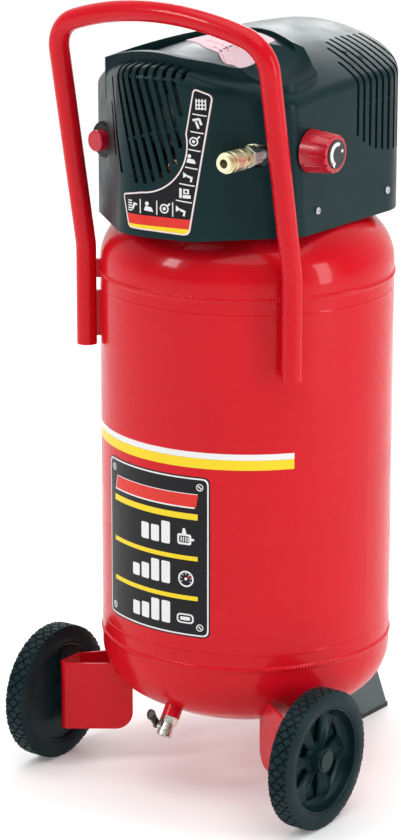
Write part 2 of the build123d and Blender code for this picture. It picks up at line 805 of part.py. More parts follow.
def motor_stator():
    """Laminated core with the winding heads at both ends."""
    core = pipe((-6, motor_y, motor_z), (50, motor_y, motor_z), motor_bore_r - 0.1, 34.2)
    for x0, x1 in ((-20, -6), (50, 64)):
        core += pipe((x0, motor_y, motor_z), (x1, motor_y, motor_z), 48, 37)
    return core


def motor_end_bell(x0, x1):
    bell = rod((x0, motor_y, motor_z), (x1, motor_y, motor_z), motor_r)
    return bell - rod((x0 - 1, motor_y, motor_z), (x1 + 1, motor_y, motor_z), 15)


def bell_spans():
    return ((motor_x0 - bell_t, motor_x0), (motor_x1, motor_x1 + bell_t))


def motor_end_bells():
    return group([motor_end_bell(x0, x1) for x0, x1 in bell_spans()])


def motor_bearings():
    """Ball bearings, drawn as closed rings."""
    return group([
        pipe((x0 + 2, motor_y, motor_z), (x0 + 12, motor_y, motor_z), 15, shaft_r + axle_play)
        for x0, x1 in bell_spans()])


def motor_rotor():
    """Shaft, rotor core and crank disc with its pin and counterweight."""
    rotor = rod((-78, motor_y, motor_z), (118, motor_y, motor_z), shaft_r)
    rotor += rod((-4, motor_y, motor_z), (48, motor_y, motor_z), 33.7)
    rotor += rod((-89, motor_y, motor_z), (-78, motor_y, motor_z), 22)
    pin_y = motor_y + stroke / 2
    return rotor + rod((eye_x1() + open_pivot_gap, pin_y, motor_z), (-89, pin_y, motor_z), 5)


def eye_x1():
    """Right-hand face of the rod's big eye."""
    return pump_x + 4.5


def cooling_fan():
    """Radial fan on the free end of the shaft."""
    fan = rod((92, motor_y, motor_z), (112, motor_y, motor_z), 12)
    fan += rod((92, motor_y, motor_z), (94, motor_y, motor_z), 48)
    for i in range(9):
        blade = block(93, 112, -1, 1, 10, 48)
        fan += Pos(0, motor_y, motor_z) * Rot(40 * i, 0, 0) * blade
    return fan - rod((91, motor_y, motor_z), (113, motor_y, motor_z), shaft_r)


def crankcase():
    """Closed case round the crank, with a square deck for the cylinder."""
    x0, x1 = -112, motor_x0 - bell_t
    case = rod((x0, motor_y, motor_z), (x1, motor_y, motor_z), 42)
    case += block(pump_x - 30, pump_x + 30, case_face_y, motor_y, motor_z - 30, motor_z + 30)
    case -= rod((x0 + 4, motor_y, motor_z), (x1 + 1, motor_y, motor_z), 36)
    return case - rod((pump_x, case_face_y - 1, motor_z), (pump_x, motor_y, motor_z), pump_bore_r + 1)


def pump_cylinder():
    """Finned aluminium cylinder lying towards the front."""
    barrel = rod((pump_x, case_face_y, motor_z), (pump_x, deck_y, motor_z), 29)
    for i in range(6):
        y = case_face_y - 1 - 7 * i
        size = head_half - 1 if 0 < i else 30
        top = y + 1 if i == 0 else y
        barrel += block(pump_x - size, pump_x + size, y - 2.5, top, motor_z - size, motor_z + size)
    return barrel - rod((pump_x, case_face_y + 1, motor_z), (pump_x, deck_y - 1, motor_z), pump_bore_r)


def square_plate(y0, y1, half):
    plate = block(pump_x - half, pump_x + half, y0, y1, motor_z - half, motor_z + half)
    return fillet(plate.edges().filter_by(Axis.Y), 5)


def valve_plate():
    plate = square_plate(deck_y - plate_t, deck_y, head_half)
    for z in (-10, 10):
        plate -= rod((pump_x, deck_y - 5, motor_z + z), (pump_x, deck_y + 1, motor_z + z), 4)
    return plate - head_bolt_holes()


def cylinder_head():
    """Head casting: two chambers, cooling fins on top and two pipe sockets."""
    back, front = deck_y - plate_t, deck_y - plate_t - head_depth
    casting = square_plate(front + 10, back, head_half)
    for i in range(7):
        x = pump_x - 30 + 10 * i
        casting += block(x - 1.5, x + 1.5, front, front + 11, motor_z - 30, motor_z + 30)
    for z in (-14, 14):
        casting -= rod((pump_x, back - 12, motor_z + z), (pump_x, back + 1, motor_z + z), 10)
    top, low, port_y = motor_z + head_half, motor_z - head_half, back - 9
    casting += rod((pump_x, port_y, top - 2), (pump_x, port_y, top + 6), 8)
    casting += rod((pump_x + 20, port_y, low - 5), (pump_x + 20, port_y, low + 6), 8)
    pockets = [rod((x, front - 1, z), (x, front + 10, z), 5.5) for x, z in head_bolt_spots()]
    return casting - head_bolt_holes() - pockets


def head_bolt_spots():
    spot = head_half - 7
    return [(pump_x + sx * spot, motor_z + sz * spot) for sx in (-1, 1) for sz in (-1, 1)]


def head_bolt_holes():
    front = deck_y - plate_t - head_depth
    return [rod((x, front, z), (x, deck_y + 1, z), 3) for x, z in head_bolt_spots()]


def head_bolts():
    """Four cap screws through the head into the cylinder's top fin."""
    seat = deck_y - plate_t - head_depth + 10
    bolts = []
    for x, z in head_bolt_spots():
        bolts.append(rod((x, seat, z), (x, deck_y, z), 2.95) + rod((x, seat - 5, z), (x, seat, z), 5))
    return group(bolts)


def piston_rod():
    """One-piece oil-free piston: crown with its seal, and a rod with the big eye."""
    eye_y = motor_y + stroke / 2
    crown_y = deck_y + stroke + 1.2
    part = rod((pump_x, crown_y + 9, motor_z), (pump_x, crown_y, motor_z), pump_bore_r - piston_play)
    part += block(pump_x - 3.5, pump_x + 3.5, crown_y + 8, eye_y - 6, motor_z - 6, motor_z + 6)
    part += rod((pump_x - 4.5, eye_y, motor_z), (eye_x1(), eye_y, motor_z), 12)
    return part - rod((pump_x - 6, eye_y, motor_z), (pump_x + 6, eye_y, motor_z), 5.5)


def intake_filter():
    """Round air filter standing on the cylinder head."""
    y, low = deck_y - plate_t - 9, motor_z + head_half + 6
    can = rod((pump_x, y, low), (pump_x, y, low + 16), 15)
    return fillet(can.edges().filter_by(GeomType.CIRCLE).sort_by(Axis.Z)[-1], 3)


def bent_pipe(points, bend, outer, inner):
    """Tube along straight runs joined by arcs."""
    path = FilletPolyline(*points, radius=bend)
    start, ahead = Vector(*points[0]), Vector(*points[1])
    plane = Plane(origin=start, z_dir=(ahead - start).normalized())
    return sweep(plane * (Circle(outer) - Circle(inner)), path=path)


def discharge_pipe():
    """Copper tube from the cylinder head down to the check valve."""
    x, y = pump_x + 20, deck_y - plate_t - 9
    low = motor_z - head_half - 5
    valve_x, valve_y = port_spots()[0]
    top = port_top((valve_x, valve_y)) + 34
    points = [(x, y, low), (x, y, low - 12), (valve_x + 30, valve_y, top + 14), (valve_x, valve_y, top + 14),
              (valve_x, valve_y, top)]
    return bent_pipe(points, 6, 4, 3)


def check_valve():
    """Brass check valve on the tank port, with a side outlet for the unloader pipe."""
    x, y = port_spots()[0]
    low = port_top((x, y))
    valve = rod((x, y, low - 12), (x, y, low), 6.9) + hexagon((x, y, low), (x, y, low + 16), 22)
    valve += rod((x, y, low + 16), (x, y, low + 34), 9)
    valve += rod((x - 16, y, low + 8), (x, y, low + 8), 5)
    return valve - rod((x, y, low - 13), (x, y, low + 35), 4)


def unloader_pipe():
    """Thin tube from the check valve to the pressure switch."""
    x, y = port_spots()[0]
    z = port_top((x, y)) + 8
    points = [(x - 16, y, z), (-100, y, z), (-100, -94, z + 14), (-100, -94, 752)]
    return bent_pipe(points, 5, 2.5, 1.7)


def manifold_pipe():
    """Riser from the tank's second port to the regulator."""
    x, y = port_spots()[1]
    low = port_top((x, y))
    return pipe((x, y, low - 12), (x, y, 760), 6.9, 5)


def safety_valve_body():
    """Spring safety valve on the inner side of the manifold."""
    body = hexagon((90, valve_y, control_z), (84, valve_y, control_z), 16)
    body += rod((84, valve_y, control_z), (68, valve_y, control_z), 6.5)
    return body - rod((91, valve_y, control_z), (67, valve_y, control_z), 2.5 + axle_play)


def safety_valve_stem():
    """Pull stem with its ring, drawn by hand to test the valve."""
    stem = rod((86, valve_y, control_z), (63, valve_y, control_z), 2.5)
    return stem + Pos(56, valve_y, control_z) * Torus(7.5, 1)


def capacitor():
    """Run capacitor lying on the saddle plate behind the motor."""
    z = saddle_z + saddle_t + capacitor_r
    can = rod((-60, capacitor_y, z), (20, capacitor_y, z), capacitor_r)
    return fillet(can.edges().filter_by(GeomType.CIRCLE), 2)


# ---------------------------------------------------------------- assembly

def all_nodes():
    """Every sub-part by name, laid out about the tank's axis."""
    tank = tank_solid()
    right_bracket = wheel_bracket(tank)
    right_tyre, right_rim, right_cap = tyre(), wheel_rim(), hub_cap()
    return {
        "tank_shell": tank_shell(),
        "tank_top_head": top_head(),
        "tank_bottom_head": bottom_head(),
        "tank_weld_beads": group([weld_bead(seam_low_z), weld_bead(seam_high_z)]),
        "tank_port_bosses": port_bosses(tank),
        "drain_boss": drain_boss(tank),
        "drain_valve_body": drain_valve_body(),
        "drain_lever": drain_lever(),
        "right_wheel_bracket": right_bracket,
        "left_wheel_bracket": mirrored(right_bracket),
        "axle_bolts": both(axle_bolt()),
        "axle_washers": both(axle_washers()),
        "axle_nuts": both(axle_nut()),
        "right_tyre": right_tyre,
        "left_tyre": mirrored(right_tyre),
        "right_rim": right_rim,
        "left_rim": mirrored(right_rim),
        "right_hub_cap": right_cap,
        "left_hub_cap": mirrored(right_cap),
        "rear_foot_bracket": rear_foot_bracket(tank),
        "rear_foot_pad": rear_foot_pad(),
        "handle": handle(),
        "handle_end_caps": both(handle_end_cap()),
        "handle_weld_tabs": both(handle_weld_tabs(tank)),
        "hood": hood(),
        "hood_screws": both(group([hood_screw(y) for y in screw_y])),
        "button_bezel": button_bezel(),
        "power_button": power_button(),
        "pressure_switch": pressure_switch(),
        "cable_gland": cable_gland(),
        "regulator_body": regulator_body(),
        "regulator_knob": regulator_knob(),
        "knob_cap": knob_cap(),
        "coupler_nut": coupler_nut(),
        "coupler_body": coupler_body(),
        "coupler_sleeve": coupler_sleeve(),
        "coupler_balls": coupler_balls(),
        "manifold_pipe": manifold_pipe(),
        "safety_valve_body": safety_valve_body(),
        "safety_valve_stem": safety_valve_stem(),
        "saddle_ring": saddle_ring(tank),
        "saddle_plate": saddle_plate(),
        "rubber_mounts": rubber_mounts(),
        "motor_housing": motor_housing(),
        "motor_stator": motor_stator(),
        "motor_end_bells": motor_end_bells(),
        "motor_bearings": motor_bearings(),
        "motor_rotor": motor_rotor(),
        "cooling_fan": cooling_fan(),
        "pump_crankcase": crankcase(),
        "pump_cylinder": pump_cylinder(),
        "piston_rod": piston_rod(),
        "valve_plate": valve_plate(),
        "cylinder_head": cylinder_head(),
        "head_bolts": head_bolts(),
        "intake_filter": intake_filter(),
        "discharge_pipe": discharge_pipe(),
        "check_valve": check_valve(),
        "unloader_pipe": unloader_pipe(),
        "capacitor": capacitor(),
    }


# The wheels reach furthest forward and the foot furthest back.
centre_y = (axle_y - wheel_r + foot_rear_y) / 2
os.makedirs("parts", exist_ok=True)
for name, shape in all_nodes().items():
    export_step(Pos(0, -centre_y, 0) * shape, f"parts/{name}.step")
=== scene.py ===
import json
import math
import random

import bmesh
import bpy
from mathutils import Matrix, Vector
from mathutils.bvhtree import BVHTree

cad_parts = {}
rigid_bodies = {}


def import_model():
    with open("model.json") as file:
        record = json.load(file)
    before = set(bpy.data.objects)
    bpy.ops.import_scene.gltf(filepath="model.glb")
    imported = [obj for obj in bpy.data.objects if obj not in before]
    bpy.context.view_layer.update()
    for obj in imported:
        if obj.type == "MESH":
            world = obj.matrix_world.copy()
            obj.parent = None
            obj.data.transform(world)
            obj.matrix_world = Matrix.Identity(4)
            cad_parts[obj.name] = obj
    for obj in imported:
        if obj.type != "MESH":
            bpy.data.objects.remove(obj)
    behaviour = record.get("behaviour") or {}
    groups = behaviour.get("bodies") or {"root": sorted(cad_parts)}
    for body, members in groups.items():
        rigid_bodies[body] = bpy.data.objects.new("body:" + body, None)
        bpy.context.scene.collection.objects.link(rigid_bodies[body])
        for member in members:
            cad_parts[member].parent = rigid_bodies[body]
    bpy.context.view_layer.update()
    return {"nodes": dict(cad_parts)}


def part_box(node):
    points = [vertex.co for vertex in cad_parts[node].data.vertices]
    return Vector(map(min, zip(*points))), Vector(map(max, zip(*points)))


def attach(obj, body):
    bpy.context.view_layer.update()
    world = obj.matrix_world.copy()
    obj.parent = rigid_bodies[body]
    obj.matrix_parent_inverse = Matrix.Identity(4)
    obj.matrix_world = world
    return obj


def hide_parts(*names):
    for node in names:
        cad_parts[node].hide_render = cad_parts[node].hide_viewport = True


for old in list(bpy.data.objects):
    bpy.data.objects.remove(old)
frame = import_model()
random.seed(7)

MM = 0.001
nodes = frame["nodes"]
scene = bpy.context.scene

# ---------------------------------------------------------------- places from the frame

tank_low, tank_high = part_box("tank_shell")
tank_x = (tank_low.x + tank_high.x) / 2
tank_y = (tank_low.y + tank_high.y) / 2
tank_r = (tank_high.x - tank_low.x) / 2


# ---------------------------------------------------------------- materials

class Finish:
    """A procedural material built step by step round one Principled shader."""

    def __init__(self, name, colour, rough, metallic=0.0, **sockets):
        self.material = bpy.data.materials.new(name)
        self.material.use_nodes = True
        self.tree = self.material.node_tree
        self.shader = self.tree.nodes["Principled BSDF"]
        self.shader.inputs["Base Color"].default_value = (*colour, 1)
        self.shader.inputs["Roughness"].default_value = rough
        self.shader.inputs["Metallic"].default_value = metallic
        for socket, value in sockets.items():
            self.shader.inputs[socket.replace("_", " ")].default_value = value
        self.coords = self.node("ShaderNodeTexCoord").outputs["Object"]
        self.normal = None

    def node(self, kind, **values):
        made = self.tree.nodes.new(kind)
        for key, value in values.items():
            setattr(made, key, value)
        return made

    def link(self, source, target):
        self.tree.links.new(source, target)

    def noise(self, scale, detail, stretch=None):
        texture = self.node("ShaderNodeTexNoise")
        texture.inputs["Scale"].default_value = scale
        texture.inputs["Detail"].default_value = detail
        source = self.coords
        if stretch:
            mapping = self.node("ShaderNodeMapping")
            mapping.inputs["Scale"].default_value = stretch
            self.link(source, mapping.inputs["Vector"])
            source = mapping.outputs["Vector"]
        self.link(source, texture.inputs["Vector"])
        return texture.outputs["Fac"]

    def cells(self, scale):
        texture = self.node("ShaderNodeTexVoronoi", feature="SMOOTH_F1")
        texture.inputs["Scale"].default_value = scale
        self.link(self.coords, texture.inputs["Vector"])
        return texture.outputs["Distance"]

    def ramp(self, value, low, high, to_low, to_high):
        spread = self.node("ShaderNodeMapRange")
        for key, number in zip(("From Min", "From Max", "To Min", "To Max"), (low, high, to_low, to_high)):
            spread.inputs[key].default_value = number
        self.link(value, spread.inputs["Value"])
        return spread.outputs["Result"]

    def tint(self, mask, colour):
        """Blend the base colour towards another where the mask is 1."""
        mix = self.node("ShaderNodeMix", data_type="RGBA")
        first, second = [s for s in mix.inputs if s.type == "RGBA"]
        socket = self.shader.inputs["Base Color"]
        if socket.is_linked:
            self.link(socket.links[0].from_socket, first)
        else:
            first.default_value = socket.default_value
        second.default_value = (*colour, 1)
        self.link(mask, mix.inputs["Factor"])
        result = [s for s in mix.outputs if s.type == "RGBA"][0]
        self.link(result, socket)
        return self

    def dull(self, value, low, high):
        """Roughness that follows a texture."""
        self.link(self.ramp(value, 0.3, 0.7, low, high), self.shader.inputs["Roughness"])
        return self

    def round_edges(self, radius):
        edge = self.node("ShaderNodeBevel", samples=4)
        edge.inputs["Radius"].default_value = radius
        self.normal = edge.outputs["Normal"]
        self.link(self.normal, self.shader.inputs["Normal"])
        return self

    def bump(self, height, strength, distance):
        """One more layer of relief on top of those before it."""
        relief = self.node("ShaderNodeBump")
        relief.inputs["Strength"].default_value = strength
        relief.inputs["Distance"].default_value = distance
        self.link(height, relief.inputs["Height"])
        if self.normal:
            self.link(self.normal, relief.inputs["Normal"])
        self.normal = relief.outputs["Normal"]
        self.link(self.normal, self.shader.inputs["Normal"])
        return self


def gloss_red():
    f = Finish("red_enamel", (0.62, 0.005, 0.014), 0.26, Specular_IOR_Level=0.10, Coat_Weight=0.20,
               Coat_Roughness=0.03)
    f.tint(f.ramp(f.noise(7, 4), 0.42, 0.72, 0, 0.5), (0.55, 0.004, 0.011))
    f.dull(f.noise(24, 5), 0.20, 0.32)
    f.bump(f.noise(380, 2), 0.07, 0.0002)
    f.bump(f.noise(5, 1), 0.10, 0.003)
    return f.material


GREEN_SHEEN = (0.72, 1.0, 0.97, 1.0)


def hood_plastic():
    f = Finish("moulded_green_black", (0.004, 0.018, 0.021), 0.34, Specular_IOR_Level=0.15,
               Specular_Tint=GREEN_SHEEN)
    f.tint(f.ramp(f.noise(14, 5), 0.40, 0.75, 0, 0.7), (0.007, 0.024, 0.028))
    f.tint(f.ramp(f.noise(900, 2), 0.55, 0.75, 0, 0.35), (0.018, 0.042, 0.045))
    f.dull(f.noise(35, 6), 0.28, 0.40)
    f.bump(f.cells(1400), 0.08, 0.0002)
    f.bump(f.noise(260, 3), 0.05, 0.0003)
    return f.material


def tyre_rubber():
    f = Finish("tyre_rubber", (0.005, 0.015, 0.018), 0.58, Specular_IOR_Level=0.15,
               Specular_Tint=GREEN_SHEEN)
    f.tint(f.ramp(f.noise(30, 6), 0.4, 0.8, 0, 0.8), (0.017, 0.033, 0.036))
    f.dull(f.noise(60, 4), 0.44, 0.66)
    f.bump(f.noise(1500, 3), 0.25, 0.0003)
    f.bump(f.noise(180, 3), 0.10, 0.0004)
    return f.material


def wheel_plastic():
    f = Finish("wheel_plastic", (0.003, 0.014, 0.017), 0.28, Specular_IOR_Level=0.18,
               Specular_Tint=GREEN_SHEEN)
    f.tint(f.ramp(f.noise(25, 5), 0.4, 0.8, 0, 0.7), (0.010, 0.028, 0.031))
    f.dull(f.noise(50, 5), 0.24, 0.38)
    f.bump(f.cells(1100), 0.08, 0.0002)
    return f.material


def dark_paint():
    f = Finish("grey_green_enamel", (0.045, 0.072, 0.074), 0.42)
    f.round_edges(0.0008)
    f.tint(f.ramp(f.noise(18, 5), 0.4, 0.8, 0, 0.8), (0.060, 0.092, 0.092))
    f.dull(f.noise(40, 5), 0.36, 0.52)
    f.bump(f.noise(700, 2), 0.10, 0.0003)
    return f.material


def soft_black(name, colour, rough, grain):
    f = Finish(name, colour, rough)
    f.tint(f.ramp(f.noise(40, 5), 0.4, 0.8, 0, 0.8), tuple(1.7 * c for c in colour))
    f.dull(f.noise(60, 4), rough - 0.06, rough + 0.10)
    f.bump(f.noise(grain, 3), 0.15, 0.0003)
    return f.material


def plated(name, colour, rough, stain):
    f = Finish(name, colour, rough, 1.0)
    f.tint(f.ramp(f.noise(60, 6), 0.45, 0.8, 0, 0.8), stain)
    f.dull(f.noise(90, 4, (1, 1, 6)), rough - 0.08, rough + 0.12)
    f.bump(f.noise(900, 2, (1, 1, 5)), 0.12, 0.0002)
    return f.material


def cast_metal():
    f = Finish("cast_aluminium", (0.56, 0.57, 0.58), 0.48, 1.0)
    f.tint(f.ramp(f.noise(70, 6), 0.4, 0.8, 0, 0.8), (0.40, 0.41, 0.42))
    f.dull(f.noise(120, 5), 0.40, 0.62)
    f.bump(f.noise(1100, 4), 0.35, 0.0005)
    return f.material


def red_plastic():
    f = Finish("red_moulding", (0.52, 0.006, 0.022), 0.28, Coat_Weight=0.25, Coat_Roughness=0.12)
    f.tint(f.ramp(f.noise(60, 5), 0.4, 0.8, 0, 0.7), (0.42, 0.004, 0.016))
    f.dull(f.noise(120, 4), 0.22, 0.36)
    f.bump(f.noise(1300, 2), 0.10, 0.0002)
    return f.material


def print_ink(name, colour, rough=0.30, coat=0.12):
    """Printed film: faint mottling and a satin surface."""
    f = Finish(name, colour, rough, Specular_IOR_Level=0.15, Coat_Weight=coat, Coat_Roughness=0.08)
    f.tint(f.ramp(f.noise(500, 3), 0.4, 0.8, 0, 0.5), tuple(0.86 * c for c in colour))
    f.dull(f.noise(160, 3), rough - 0.05, rough + 0.08)
    f.bump(f.noise(300, 2), 0.05, 0.0002)
    return f.material


finishes = {
    "red_paint": gloss_red(),
    "hood_plastic": hood_plastic(),
    "tyre_rubber": tyre_rubber(),
    "wheel_plastic": wheel_plastic(),
    "dark_paint": dark_paint(),
    "black_rubber": soft_black("black_rubber", (0.016, 0.017, 0.017), 0.62, 900),
    "black_plastic": soft_black("black_plastic", (0.012, 0.014, 0.014), 0.34, 1200),
    "zinc_steel": plated("zinc_steel", (0.56, 0.57, 0.60), 0.30, (0.42, 0.43, 0.44)),
    "nickel": plated("nickel", (0.74, 0.71, 0.64), 0.26, (0.60, 0.55, 0.44)),
    "brass": plated("brass", (0.92, 0.88, 0.62), 0.36, (0.82, 0.76, 0.48)),
    "copper": plated("copper", (0.72, 0.40, 0.25), 0.28, (0.50, 0.25, 0.14)),
    "red_plastic": red_plastic(),
    "cast_aluminium": cast_metal(),
}
for node in nodes.values():
    for i, plain in enumerate(node.data.materials):
        node.data.materials[i] = finishes[plain.name.split(".")[0]]

ink = {
    "white": print_ink("ink_white", (0.82, 0.82, 0.82)),
    "black": print_ink("ink_black", (0.006, 0.005, 0.007)),
    "yellow": print_ink("ink_yellow", (0.90, 0.66, 0.02)),
    "red": print_ink("ink_red", (0.72, 0.035, 0.025)),
    "pink": print_ink("ink_pink", (0.80, 0.42, 0.46)),
    "pale": print_ink("ink_pale", (0.76, 0.56, 0.60), 0.75, 0.0),
    "rose": print_ink("ink_rose", (0.70, 0.20, 0.28), 0.75, 0.0),
}


# ---------------------------------------------------------------- mesh building

def make(name, body, verts, faces, materials, smooth=False, which=None):
    """One visible piece from plain lists, riding on a CAD body."""
    mesh = bpy.data.meshes.new(name)
    mesh.from_pydata([tuple(v) for v in verts], [], faces)
    for material in materials:
        mesh.materials.append(material)
    if which:
        mesh.polygons.foreach_set("material_index", which)
    mesh.polygons.foreach_set("use_smooth", [smooth] * len(mesh.polygons))
    mesh.validate()
    piece = bpy.data.objects.new(name, mesh)
    scene.collection.objects.link(piece)
    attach(piece, body)
    return piece


def grid_faces(columns, rows, closed=True):
    """Quads over closed columns of points; closed joins the last column to the first."""
    faces = []
    for i in range(columns if closed else columns - 1):
        for j in range(rows):
            a, b = i * rows + j, ((i + 1) % columns) * rows + j
            c, d = ((i + 1) % columns) * rows + (j + 1) % rows, i * rows + (j + 1) % rows
            faces.append((a, b, c, d))
    return faces


# ---------------------------------------------------------------- printed artwork

# heights of the printed layers above their surface, in mm
STRIPE_FILM = 0.12
PLATE_FILM = 0.22
PLATE_TITLE = 0.28
PLATE_RULE = 0.30
PLATE_MARK = 0.32
LABEL_EDGE = 0.14
LABEL_BORDER = 0.18
LABEL_FILM = 0.22
LABEL_STRIP = 0.34
LABEL_MARK = 0.42
CAP_MARK = 0.16
STICKER_FILM = 0.50
STICKER_STROKE = 0.60


def arc(cx, cy, r, start, end, steps):
    """Points on an arc, angles in degrees."""
    return [(cx + r * math.cos(math.radians(start + (end - start) * i / steps)),
             cy + r * math.sin(math.radians(start + (end - start) * i / steps))) for i in range(steps + 1)]


def disc(cx, cy, r, steps=28):
    return arc(cx, cy, r, 0, 360 - 360 / steps, steps - 1)


def rounded(points, radius, steps=6):
    """A polygon with its corners replaced by curves."""
    done = []
    for i, point in enumerate(points):
        here, before, after = Vector(point), Vector(points[i - 1]), Vector(points[(i + 1) % len(points)])
        cut = min(radius, (before - here).length / 2.2, (after - here).length / 2.2)
        a = here + (before - here).normalized() * cut
        b = here + (after - here).normalized() * cut
        for k in range(steps + 1):
            t = k / steps
            done.append(tuple(a * (1 - t) ** 2 + here * 2 * t * (1 - t) + b * t ** 2))
    return done


def rect(u0, v0, u1, v1, radius=0.0):
    corners = [(u0, v0), (u1, v0), (u1, v1), (u0, v1)]
    return rounded(corners, radius) if radius else corners


def bar(u0, v0, u1, v1, width):
    """A straight stroke between two points."""
    a, b = Vector((u0, v0)), Vector((u1, v1))
    side = (b - a).normalized().orthogonal() * width / 2
    return [tuple(a - side), tuple(b - side), tuple(b + side), tuple(a + side)]


def inset(points, distance):
    """A polygon moved inwards, counterclockwise input."""
    done = []
    count = len(points)
    for i in range(count):
        here = Vector(points[i])
        before = (here - Vector(points[i - 1])).normalized()
        after = (Vector(points[(i + 1) % count]) - here).normalized()
        n1, n2 = Vector((-before.y, before.x)), Vector((-after.y, after.x))
        middle = (n1 + n2).normalized()
        done.append(tuple(here + middle * distance / max(0.4, middle.dot(n1))))
    return done


def clip(points, keep):
    """The part of a polygon on one side of a level line: keep(v) > 0."""
    done = []
    for i, point in enumerate(points):
        before = points[i - 1]
        a, b = keep(before[1]), keep(point[1])
        if (a > 0) != (b > 0):
            t = a / (a - b)
            done.append((before[0] + (point[0] - before[0]) * t, before[1] + (point[1] - before[1]) * t))
        if b > 0:
            done.append(tuple(point))
    return done


def artwork(name, body, shapes, place, step):
    """Thin closed printed films. Shapes are (loops, ink, height) in mm; place maps them to a surface."""
    verts, faces, which, used = [], [], [], sorted({shape[1] for shape in shapes})
    for loops, colour, height in shapes:
        flat = bmesh.new()
        edges = []
        for loop in loops:
            ring = [flat.verts.new((u, v, 0)) for u, v in loop]
            edges += [flat.edges.new((ring[i - 1], ring[i])) for i in range(len(ring))]
        bmesh.ops.triangle_fill(flat, use_beauty=True, use_dissolve=False, edges=edges)
        for axis in (0, 1):
            spread = [v.co[axis] for v in flat.verts]
            normal = (1, 0, 0) if axis == 0 else (0, 1, 0)
            for k in range(math.ceil(min(spread) / step), math.floor(max(spread) / step) + 1):
                plane = (k * step, 0, 0) if axis == 0 else (0, k * step, 0)
                bmesh.ops.bisect_plane(
                    flat, geom=flat.verts[:] + flat.edges[:] + flat.faces[:], plane_co=plane, plane_no=normal)
        for face in flat.faces:
            if face.normal.z < 0:
                face.normal_flip()
        flat.verts.index_update()
        base, count = len(verts), len(flat.verts)
        verts += [place(v.co.x, v.co.y, height) for v in flat.verts]
        verts += [place(v.co.x, v.co.y, 0.0) for v in flat.verts]
        for face in flat.faces:
            loop = [v.index + base for v in face.verts]
            faces.append(loop)
            faces.append([i + count for i in reversed(loop)])
            which += [used.index(colour)] * 2
            for edge_loop in face.loops:
                if edge_loop.edge.is_boundary:
                    a, b = edge_loop.vert.index + base, edge_loop.link_loop_next.vert.index + base
                    faces.append([b, a, a + count, b + count])
                    which.append(used.index(colour))
        flat.free()
    make(name, body, verts, faces, [ink[c] for c in used], False, which)


def on_tank(u, v, height):
    """Arc length from the front, and height above the floor, on the tank's wall."""
    r = tank_r + height * MM
    turn = u * MM / tank_r
    return Vector((tank_x + r * math.sin(turn), tank_y - r * math.cos(turn), v * MM))


def surface(node):
    mesh = nodes[node].data
    return BVHTree.FromPolygons([v.co for v in mesh.vertices], [p.vertices for p in mesh.polygons])


hood_tree = surface("hood")


def on_hood_front(u, v, height):
    """X and Z seen from the front, dropped onto the hood's front."""
    spot, normal = hood_tree.ray_cast(Vector((u * MM, -0.4, v * MM)), Vector((0, 1, 0)))[:2]
    return spot + normal * height * MM


def on_tray(u, v, height):
    """X and Y seen from above, dropped onto the roof tray."""
    spot = hood_tree.ray_cast(Vector((u * MM, v * MM, 1.2)), Vector((0, 0, -1)))[0]
    return spot + Vector((0, 0, 1)) * height * MM


def mark(*loops, colour="white", height=PLATE_MARK):
    """One printed shape: its outline and holes, its ink and its height."""
    return list(loops), colour, height


# stripes round the tank's front left

STRIPE_END = 53.7
STRIPE_START = -150.0


def arc_mm(degrees):
    return math.radians(degrees) * tank_r / MM


def stripe(name, low, high, colour):
    outline = rect(arc_mm(STRIPE_START), low, arc_mm(STRIPE_END), high)
    artwork(name, "frame", [mark(outline, colour=colour, height=STRIPE_FILM)], on_tank, 6)


stripe("tank_stripe_white", 432.7, 439.9, "white")
stripe("tank_stripe_yellow", 420.7, 432.5, "yellow")


# plate on the tank

PLATE_LEFT, PLATE_RIGHT = arc_mm(-31.7), arc_mm(21.4)
PLATE_LOW, PLATE_HIGH = 213.0, 410.0
PLATE_RADIUS = 9
SCREW_INSET = 12.5
SCREW_TURN = 2.4
TITLE_LOW, TITLE_HIGH = 371, 389
RULES = ((361.0, 7.4), (310.0, 5.4), (261.0, 5.4))
POWER_ROW, PRESSURE_ROW, VOLUME_ROW = 333, 284, 235


def corner_screw(u, v, turn):
    """Drawn screw head: ring and slanted slot."""
    dx, dy = 2.6 * math.cos(turn), 2.6 * math.sin(turn)
    return [mark(disc(u, v, 4.4), disc(u, v, 3.3)), mark(bar(u - dx, v - dy, u + dx, v + dy, 1.5))]


def motor_symbol(u, v):
    """Ribbed motor with a shaft and a box on top."""
    shapes = [mark(rect(u - 9, v - 7, u + 9, v + 6, 3), rect(u - 6.6, v - 4.6, u + 6.6, v + 3.6, 2))]
    for i in range(4):
        x = u - 4.6 + 3 * i
        shapes.append(mark(rect(x, v - 3.4, x + 1.4, v + 2.4)))
    shapes.append(mark(rect(u + 9, v - 1.6, u + 12.5, v + 1.2)))
    shapes.append(mark(rounded([(u - 3, v + 6), (u + 3, v + 6), (u + 1, v + 13), (u - 2, v + 13)], 0.8)))
    return shapes


def gauge_symbol(u, v):
    """Round dial with a red needle and ticks."""
    shapes = [mark(disc(u, v, 10), disc(u, v, 8))]
    shapes.append(mark(bar(u, v, u + 4.6, v + 4.2, 1.6), colour="red", height=PLATE_MARK + 0.01))
    shapes.append(mark(disc(u, v, 1.8), height=PLATE_MARK + 0.02))
    for angle in range(-30, 211, 40):
        c, s = math.cos(math.radians(angle)), math.sin(math.radians(angle))
        shapes.append(mark(bar(u + 5.4 * c, v + 5.4 * s, u + 7.2 * c, v + 7.2 * s, 0.9)))
    return shapes


def vessel_symbol(u, v):
    """Outline of a lying vessel with a solid core."""
    outer = rect(u - 11, v - 6, u + 11, v + 6, 6)
    inner = rect(u - 9, v - 4.2, u + 9, v + 4.2, 4.2)
    core = rect(u - 6.4, v - 2.2, u + 6.4, v + 2.2, 1.6)
    return [mark(outer, inner), mark(core)]


